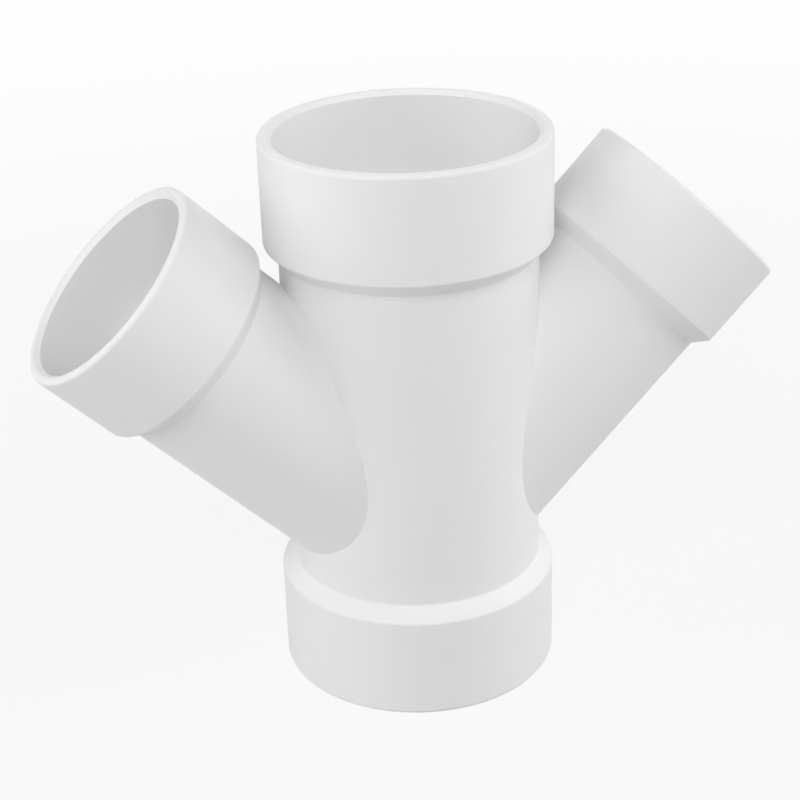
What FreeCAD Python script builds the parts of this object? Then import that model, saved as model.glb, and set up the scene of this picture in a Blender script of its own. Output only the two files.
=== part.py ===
import FreeCAD
import Part
import math
import os

# Driving dimensions in millimetres, of a reducing double wye for solvent-welded drain pipe.
# The run stands along +Z on its lower rim. The two branches leave it towards -X and +X.

# Pipes that the fitting joins
RUN_PIPE_DIAMETER = 114.3
RUN_PIPE_WALL = 6.02
BRANCH_PIPE_DIAMETER = 88.9
BRANCH_PIPE_WALL = 5.49

# Sockets: the room round each pipe, how deep the pipe goes in, and the flare of the mouth
SOCKET_CLEARANCE = 0.19
RUN_SOCKET_DEPTH = 44.45
BRANCH_SOCKET_DEPTH = 38.1
MOUTH_CHAMFER = 2.0

# Hubs: the thick ends round the sockets, and the slopes that lead down to the bodies
RUN_HUB_WALL = 6.16
BRANCH_HUB_WALL = 5.49
RUN_HUB_PAST_STOP = 2.85
BRANCH_HUB_PAST_STOP = 3.75
RUN_SLOPE_LENGTH = 6.4
BRANCH_SLOPE_LENGTH = 6.2
RIM_FILLET = 1.8
HUB_CORNER_CHAMFER = 0.4
SLOPE_FOOT_FILLET = 1.0

# Junctions: how the branches leave the run
BRANCH_ANGLE = 45.0
BODY_BELOW_BRANCHES = 12.0
BODY_ABOVE_BRANCHES = 10.4
BRANCH_BODY_ABOVE_CROTCH = 16.0

# Eased edges: the room of each, as a share of its corner's shorter side, and the furthest turn,
# in degrees, that a fillet makes in one arc. A fillet that turns further is two equal arcs.
CORNER_SHARE = 0.45
FURTHEST_TURN = 60.0

SINE = math.sin(math.radians(BRANCH_ANGLE))
COSINE = math.cos(math.radians(BRANCH_ANGLE))

# Radii that follow from the pipes
RUN_BODY_RADIUS = RUN_PIPE_DIAMETER / 2
RUN_BORE_RADIUS = RUN_BODY_RADIUS - RUN_PIPE_WALL
RUN_SOCKET_RADIUS = RUN_BODY_RADIUS + SOCKET_CLEARANCE
RUN_HUB_RADIUS = RUN_SOCKET_RADIUS + RUN_HUB_WALL
BRANCH_BODY_RADIUS = BRANCH_PIPE_DIAMETER / 2
BRANCH_BORE_RADIUS = BRANCH_BODY_RADIUS - BRANCH_PIPE_WALL
BRANCH_SOCKET_RADIUS = BRANCH_BODY_RADIUS + SOCKET_CLEARANCE
BRANCH_HUB_RADIUS = BRANCH_SOCKET_RADIUS + BRANCH_HUB_WALL

# Lengths along the run, from the lower rim up
RUN_HUB_LENGTH = RUN_SOCKET_DEPTH + RUN_HUB_PAST_STOP
RUN_END_LENGTH = RUN_HUB_LENGTH + RUN_SLOPE_LENGTH
JUNCTION_HALF_HEIGHT = BRANCH_BODY_RADIUS / SINE
JUNCTION_RISE = RUN_BODY_RADIUS * COSINE / SINE
CROSSING_HEIGHT = RUN_END_LENGTH + BODY_BELOW_BRANCHES + JUNCTION_HALF_HEIGHT - JUNCTION_RISE
CROTCH_HEIGHT = CROSSING_HEIGHT + JUNCTION_RISE + JUNCTION_HALF_HEIGHT
RUN_LENGTH = CROTCH_HEIGHT + BODY_ABOVE_BRANCHES + RUN_END_LENGTH

# Lengths along a branch, from where its axis crosses the run's axis
BRANCH_HUB_LENGTH = BRANCH_SOCKET_DEPTH + BRANCH_HUB_PAST_STOP
BRANCH_END_LENGTH = BRANCH_HUB_LENGTH + BRANCH_SLOPE_LENGTH
CROTCH_DISTANCE = (RUN_BODY_RADIUS + BRANCH_BODY_RADIUS * COSINE) / SINE
BRANCH_LENGTH = CROTCH_DISTANCE + BRANCH_BODY_ABOVE_CROTCH + BRANCH_END_LENGTH

ORIGIN = FreeCAD.Vector(0, 0, 0)
UP = FreeCAD.Vector(0, 0, 1)
ACROSS = FreeCAD.Vector(0, 1, 0)
CROSSING = FreeCAD.Vector(0, 0, CROSSING_HEIGHT)


def sharp(radius, height):
    """An outline's corner that stays sharp."""
    return FreeCAD.Vector(0, radius, height), "sharp", 0


def chamfered(radius, height, reach):
    """An outline's corner that is cut off flat, this far along both of its sides."""
    return FreeCAD.Vector(0, radius, height), "chamfer", reach


def filleted(radius, height, fillet_radius):
    """An outline's corner that is rounded off."""
    return FreeCAD.Vector(0, radius, height), "fillet", fillet_radius


def arc_about(centre, start, end):
    """The shorter arc about a centre from one point to another."""
    radius = (start - centre).Length
    outward = ((start + end) / 2 - centre).normalize()
    return Part.Arc(start, centre + outward * radius, end).toShape()


def eased_edges(before, corner, after, easing, size):
    """The chamfer or the fillet at one corner, kept within its share of both sides."""
    back = before - corner
    ahead = after - corner
    half_angle = back.getAngle(ahead) / 2
    room = CORNER_SHARE * min(back.Length, ahead.Length)
    back.normalize()
    ahead.normalize()
    if easing == "chamfer":
        reach = min(size, room)
        return [Part.makeLine(corner + back * reach, corner + ahead * reach)]
    reach = min(size / math.tan(half_angle), room)
    start = corner + back * reach
    end = corner + ahead * reach
    radius = reach * math.tan(half_angle)
    inward = (back + ahead).normalize()
    centre = corner + inward * (radius / math.sin(half_angle))
    if math.pi - 2 * half_angle <= math.radians(FURTHEST_TURN):
        return [arc_about(centre, start, end)]
    middle = centre - inward * radius
    return [arc_about(centre, start, middle), arc_about(centre, middle, end)]


def turned_solid(outline):
    """A solid turned about Z, from an outline whose first and last corners lie on the axis.

    The outline is drawn towards +Y, so that the seam of the turned faces is at the back.
    """
    corners = [place for place, easing, size in outline]
    edges = []
    end_of_last = corners[0]
    for number in range(1, len(corners) - 1):
        corner, easing, size = outline[number]
        if easing == "sharp":
            edges.append(Part.makeLine(end_of_last, corner))
            end_of_last = corner
            continue
        eased = eased_edges(corners[number - 1], corner, corners[number + 1], easing, size)
        edges.append(Part.makeLine(end_of_last, eased[0].firstVertex().Point))
        edges.extend(eased)
        end_of_last = eased[-1].lastVertex().Point
    edges.append(Part.makeLine(end_of_last, corners[-1]))
    edges.append(Part.makeLine(corners[-1], corners[0]))
    section = Part.Face(Part.Wire(edges))
    return section.revolve(ORIGIN, UP, 360)


def run_outside():
    """The outside of the run: a plain body between two hubs with sloped inner ends."""
    return turned_solid([
        sharp(0, 0),
        filleted(RUN_HUB_RADIUS, 0, RIM_FILLET),
        chamfered(RUN_HUB_RADIUS, RUN_HUB_LENGTH, HUB_CORNER_CHAMFER),
        filleted(RUN_BODY_RADIUS, RUN_END_LENGTH, SLOPE_FOOT_FILLET),
        filleted(RUN_BODY_RADIUS, RUN_LENGTH - RUN_END_LENGTH, SLOPE_FOOT_FILLET),
        chamfered(RUN_HUB_RADIUS, RUN_LENGTH - RUN_HUB_LENGTH, HUB_CORNER_CHAMFER),
        filleted(RUN_HUB_RADIUS, RUN_LENGTH, RIM_FILLET),
        sharp(0, RUN_LENGTH),
    ])


def branch_outside():
    """The outside of one branch, standing along Z from where it crosses the run."""
    return turned_solid([
        sharp(0, 0),
        sharp(BRANCH_BODY_RADIUS, 0),
        filleted(BRANCH_BODY_RADIUS, BRANCH_LENGTH - BRANCH_END_LENGTH, SLOPE_FOOT_FILLET),
        chamfered(BRANCH_HUB_RADIUS, BRANCH_LENGTH - BRANCH_HUB_LENGTH, HUB_CORNER_CHAMFER),
        filleted(BRANCH_HUB_RADIUS, BRANCH_LENGTH, RIM_FILLET),
        sharp(0, BRANCH_LENGTH),
    ])


def run_waterway():
    """The space inside the run: a bore between two pipe stops, and a socket at each end."""
    top_stop = RUN_LENGTH - RUN_SOCKET_DEPTH
    mouth_radius = RUN_SOCKET_RADIUS + MOUTH_CHAMFER
    return turned_solid([
        sharp(0, 0),
        sharp(mouth_radius, 0),
        sharp(RUN_SOCKET_RADIUS, MOUTH_CHAMFER),
        sharp(RUN_SOCKET_RADIUS, RUN_SOCKET_DEPTH),
        sharp(RUN_BORE_RADIUS, RUN_SOCKET_DEPTH),
        sharp(RUN_BORE_RADIUS, top_stop),
        sharp(RUN_SOCKET_RADIUS, top_stop),
        sharp(RUN_SOCKET_RADIUS, RUN_LENGTH - MOUTH_CHAMFER),
        sharp(mouth_radius, RUN_LENGTH),
        sharp(0, RUN_LENGTH),
    ])


def branch_waterway():
    """The space inside one branch, standing along Z from where it crosses the run."""
    stop = BRANCH_LENGTH - BRANCH_SOCKET_DEPTH
    mouth_radius = BRANCH_SOCKET_RADIUS + MOUTH_CHAMFER
    return turned_solid([
        sharp(0, 0),
        sharp(BRANCH_BORE_RADIUS, 0),
        sharp(BRANCH_BORE_RADIUS, stop),
        sharp(BRANCH_SOCKET_RADIUS, stop),
        sharp(BRANCH_SOCKET_RADIUS, BRANCH_LENGTH - MOUTH_CHAMFER),
        sharp(mouth_radius, BRANCH_LENGTH),
        sharp(0, BRANCH_LENGTH),
    ])


def leaning(branch, angle):
    """A branch set on the crossing and leaned over, towards +X for a positive angle."""
    placed = branch.copy()
    placed.translate(CROSSING)
    placed.rotate(CROSSING, ACROSS, angle)
    return placed


def double_wye(run, branch):
    """A run with a branch leaning out of each side."""
    return run.fuse([leaning(branch, -BRANCH_ANGLE), leaning(branch, BRANCH_ANGLE)])


def wye_body():
    """The whole fitting: the outer form less the waterways, which cross inside the run."""
    outside = double_wye(run_outside(), branch_outside())
    waterways = double_wye(run_waterway(), branch_waterway())
    return outside.cut(waterways)


os.makedirs("parts", exist_ok=True)
wye_body().exportStep("parts/wye_body.step")
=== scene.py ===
import bmesh
import bpy
import math
from mathutils import Matrix, Vector


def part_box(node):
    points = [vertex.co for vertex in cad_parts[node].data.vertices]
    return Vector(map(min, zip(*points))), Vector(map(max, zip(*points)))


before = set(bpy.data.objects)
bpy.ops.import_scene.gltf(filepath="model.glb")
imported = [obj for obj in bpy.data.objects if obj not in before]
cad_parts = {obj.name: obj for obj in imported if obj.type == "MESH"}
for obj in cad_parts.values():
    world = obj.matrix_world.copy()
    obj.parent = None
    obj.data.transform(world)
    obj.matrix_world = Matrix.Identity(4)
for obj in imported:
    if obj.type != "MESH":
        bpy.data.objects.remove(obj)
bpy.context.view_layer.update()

MM = 0.001

# The photograph's camera, found by matching the object's outline. Angles are in degrees and lengths in
# metres. The lens and its sensor are in millimetres, and the shift is a share of the picture's width.
CAMERA_AZIMUTH = -15.91
CAMERA_ELEVATION = 25.43
CAMERA_ROLL = -2.49
CAMERA_DISTANCE = 0.8454
AIM_SIDEWAYS = -0.0244
AIM_HEIGHT = 0.1287
FOCAL_LENGTH = 83.69
SENSOR_WIDTH = 36.0
FRAMING_SHIFT = 0.0511
NEAREST_SEEN = 10.0 * MM

# The floor and the white behind the object, in metres and as shares of full white. Near the object the
# floor shows the shadow share of how it is really lit, and that fades to none where the shadow ends.
FLOOR_SIZE = 24.0
FLOOR_WHITE = 0.7
BACKGROUND_WHITE = 0.985
SHADOW_SHARE = 0.11
SHADOW_FADES_FROM = 0.2
SHADOW_ENDS_AT = 1.2

# The circle of floor inside the rim that the object stands on
FOOT_RADIUS = 60.0 * MM

# The lamps: the even light from all round, and the soft boxes' distance and width in metres
WORLD_LIGHT = 0.03
LAMP_DISTANCE = 1.6
LAMP_WIDTH = 0.9

# Each soft box: degrees to the right of the camera, degrees above the floor, height in metres, watts
SOFT_BOXES = {
    "front_box": (0.0, 42.0, 0.9, 9.1),
    "right_low_box": (98.0, 14.0, 0.8, 7.6),
    "right_high_box": (72.0, 45.0, 0.9, 7.7),
    "left_front_box": (-50.0, 32.0, 0.9, 3.8),
    "left_low_box": (-75.0, 11.0, 0.8, 6.1),
    "left_high_box": (-100.0, 50.0, 0.9, 5.2),
    "back_box": (180.0, 12.0, 0.8, 3.5),
}

# White PVC: its lightest and darkest white, and how matt it is, give or take
PVC_WHITE = 0.94
PVC_SHADE = 0.92
PVC_ROUGHNESS = 0.52
ROUGHNESS_SPREAD = 0.06
PVC_SPECULAR = 0.25

# The three patterns on the PVC: the clouds in its colour and gloss, the slow waves of its surface and
# the fine skin from the mould. A scale is the number of lumps in a metre, and a detail the number of
# times that finer lumps are laid over them.
CLOUD_SCALE = 14.0
CLOUD_DETAIL = 4.0
WAVE_SCALE = 45.0
WAVE_DETAIL = 1.0
WAVE_STRENGTH = 1.0
WAVE_HEIGHT = 0.2 * MM
SKIN_SCALE = 1400.0
SKIN_DETAIL = 3.0
SKIN_STRENGTH = 0.5
SKIN_HEIGHT = 0.03 * MM

# How far apart the shader nodes lie in the editor
NODE_SPACING = 220


def grey(level):
    """An opaque grey, from 0 for black to 1 for white."""
    return level, level, level, 1.0


def emptied_tree(owner):
    """The node tree of a material or a world, with nothing in it yet."""
    owner.use_nodes = True
    owner.node_tree.nodes.clear()
    return owner.node_tree


def add_node(tree, kind, inputs=None, **settings):
    """A shader node, laid to the right of the last, whose inputs are values or other nodes' outputs."""
    node = tree.nodes.new(kind)
    node.location.x = NODE_SPACING * len(tree.nodes)
    for name, value in settings.items():
        setattr(node, name, value)
    for name, value in (inputs or {}).items():
        if isinstance(value, bpy.types.NodeSocket):
            tree.links.new(value, node.inputs[name])
        else:
            node.inputs[name].default_value = value
    return node


def object_place(tree):
    """Where a point lies on its own object, in metres."""
    return add_node(tree, "ShaderNodeTexCoord").outputs["Object"]


def maths(tree, operation, first, second):
    """The result of one operation on two values."""
    return add_node(tree, "ShaderNodeMath", {0: first, 1: second}, operation=operation).outputs[0]


def between(tree, share, low, high):
    """A value that goes from low to high as a share goes from 0 to 1."""
    inputs = {"Value": share, "To Min": low, "To Max": high}
    return add_node(tree, "ShaderNodeMapRange", inputs).outputs["Result"]


def noise(tree, place, scale, detail):
    """A pattern of soft lumps, from 0 to 1."""
    inputs = {"Vector": place, "Scale": scale, "Detail": detail}
    return add_node(tree, "ShaderNodeTexNoise", inputs).outputs["Fac"]


def bump(tree, pattern, strength, height, **more):
    """The surface's normal, tilted as a pattern's lumps would tilt it."""
    inputs = {"Height": pattern, "Strength": strength, "Distance": height, **more}
    return add_node(tree, "ShaderNodeBump", inputs).outputs["Normal"]


def seen_directly(tree):
    """A value that is 1 for the camera's rays and for those that gloss or glass send on."""
    ray = add_node(tree, "ShaderNodeLightPath").outputs
    camera_or_gloss = maths(tree, "MAXIMUM", ray["Is Camera Ray"], ray["Is Glossy Ray"])
    return maths(tree, "MAXIMUM", camera_or_gloss, ray["Is Transmission Ray"])


def white_pvc():
    """Moulded PVC: nearly white, softly glossy, with a faint unevenness from the mould."""
    material = bpy.data.materials.new("white_pvc")
    tree = emptied_tree(material)
    place = object_place(tree)
    cloud = noise(tree, place, CLOUD_SCALE, CLOUD_DETAIL)
    tone = add_node(tree, "ShaderNodeMix", {
        "Factor": cloud,
        "A": grey(PVC_SHADE),
        "B": grey(PVC_WHITE),
    }, data_type="RGBA")
    roughness = between(tree, cloud, PVC_ROUGHNESS - ROUGHNESS_SPREAD, PVC_ROUGHNESS + ROUGHNESS_SPREAD)
    waves = bump(tree, noise(tree, place, WAVE_SCALE, WAVE_DETAIL), WAVE_STRENGTH, WAVE_HEIGHT)
    skin = bump(tree, noise(tree, place, SKIN_SCALE, SKIN_DETAIL), SKIN_STRENGTH, SKIN_HEIGHT, Normal=waves)
    shader = add_node(tree, "ShaderNodeBsdfPrincipled", {
        "Base Color": tone.outputs["Result"],
        "Roughness": roughness,
        "Specular IOR Level": PVC_SPECULAR,
        "Normal": skin,
    })
    add_node(tree, "ShaderNodeOutputMaterial", {"Surface": shader.outputs["BSDF"]})
    return material


def floor_finish():
    """Pale paint, seen nearly white with the object's shadow kept, and as it is lit inside the run."""
    material = bpy.data.materials.new("studio_floor")
    tree = emptied_tree(material)
    from_middle = add_node(tree, "ShaderNodeVectorMath", {0: object_place(tree)}, operation="LENGTH")
    distance = from_middle.outputs["Value"]
    whiteness = add_node(tree, "ShaderNodeMapRange", {
        "Value": distance,
        "From Min": SHADOW_FADES_FROM,
        "From Max": SHADOW_ENDS_AT,
        "To Min": 1.0 - SHADOW_SHARE,
        "To Max": 1.0,
    }, interpolation_type="SMOOTHSTEP")
    outside_run = maths(tree, "GREATER_THAN", distance, FOOT_RADIUS)
    open_floor = maths(tree, "MULTIPLY", whiteness.outputs["Result"], outside_run)
    lit = add_node(tree, "ShaderNodeBsdfDiffuse", {"Color": grey(FLOOR_WHITE)})
    bright = add_node(tree, "ShaderNodeEmission", {"Color": grey(1.0), "Strength": BACKGROUND_WHITE})
    blend = add_node(tree, "ShaderNodeMixShader", {
        "Fac": maths(tree, "MULTIPLY", seen_directly(tree), open_floor),
        1: lit.outputs["BSDF"],
        2: bright.outputs["Emission"],
    })
    add_node(tree, "ShaderNodeOutputMaterial", {"Surface": blend.outputs["Shader"]})
    return material


def studio_floor():
    """A wide flat floor under the object."""
    mesh = bpy.data.meshes.new("studio_floor")
    shape = bmesh.new()
    bmesh.ops.create_grid(shape, x_segments=1, y_segments=1, size=FLOOR_SIZE / 2)
    shape.to_mesh(mesh)
    shape.free()
    mesh.materials.append(floor_finish())
    floor = bpy.data.objects.new("studio_floor", mesh)
    bpy.context.scene.collection.objects.link(floor)


def studio_world():
    """White where it is seen, and a low even light for the rest."""
    world = bpy.data.worlds.new("studio_world")
    tree = emptied_tree(world)
    strength = between(tree, seen_directly(tree), WORLD_LIGHT, BACKGROUND_WHITE)
    background = add_node(tree, "ShaderNodeBackground", {"Color": grey(1.0), "Strength": strength})
    add_node(tree, "ShaderNodeOutputWorld", {"Surface": background.outputs["Background"]})
    bpy.context.scene.world = world


def away(azimuth, elevation):
    """The unit vector out from the object, by degrees round from -Y towards +X and degrees up."""
    turn = math.radians(azimuth)
    lift = math.radians(elevation)
    return Vector((math.sin(turn) * math.cos(lift), -math.cos(turn) * math.cos(lift), math.sin(lift)))


def soft_box(name, way_out, height, power, aim):
    """A flat rectangular lamp, set some way out from a point and turned to face it."""
    lamp = bpy.data.lights.new(name, "AREA")
    lamp.shape = "RECTANGLE"
    lamp.size = LAMP_WIDTH
    lamp.size_y = height
    lamp.energy = power
    holder = bpy.data.objects.new(name, lamp)
    holder.location = aim + way_out * LAMP_DISTANCE
    holder.rotation_euler = way_out.to_track_quat("Z", "Y").to_euler()
    bpy.context.scene.collection.objects.link(holder)


def studio_lights():
    """The soft boxes, which stand round the object and face its middle."""
    low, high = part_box("wye_body")
    middle = (Vector(low) + Vector(high)) / 2
    for name, (azimuth, elevation, height, power) in SOFT_BOXES.items():
        soft_box(name, away(CAMERA_AZIMUTH + azimuth, elevation), height, power, middle)


def studio_camera():
    """The camera at the photograph's place, turned and shifted as its picture is framed."""
    turn = math.radians(CAMERA_AZIMUTH)
    roll = math.radians(CAMERA_ROLL)
    back = away(CAMERA_AZIMUTH, CAMERA_ELEVATION)
    level_right = Vector((math.cos(turn), math.sin(turn), 0.0))
    level_up = back.cross(level_right)
    right = math.cos(roll) * level_right + math.sin(roll) * level_up
    up = math.cos(roll) * level_up - math.sin(roll) * level_right
    aim = Vector((0.0, 0.0, AIM_HEIGHT)) + AIM_SIDEWAYS * level_right
    axes = Matrix((right, up, back)).transposed()
    lens = bpy.data.cameras.new("studio_camera")
    lens.lens = FOCAL_LENGTH
    lens.sensor_width = SENSOR_WIDTH
    lens.shift_x = FRAMING_SHIFT
    lens.clip_start = NEAREST_SEEN
    camera = bpy.data.objects.new("studio_camera", lens)
    camera.matrix_world = Matrix.Translation(aim + back * CAMERA_DISTANCE) @ axes.to_4x4()
    bpy.context.scene.collection.objects.link(camera)
    bpy.context.scene.camera = camera


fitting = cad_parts["wye_body"]
fitting.data.materials.clear()
fitting.data.materials.append(white_pvc())
studio_floor()
studio_world()
studio_lights()
studio_camera()
bpy.context.scene.view_settings.view_transform = "Standard"
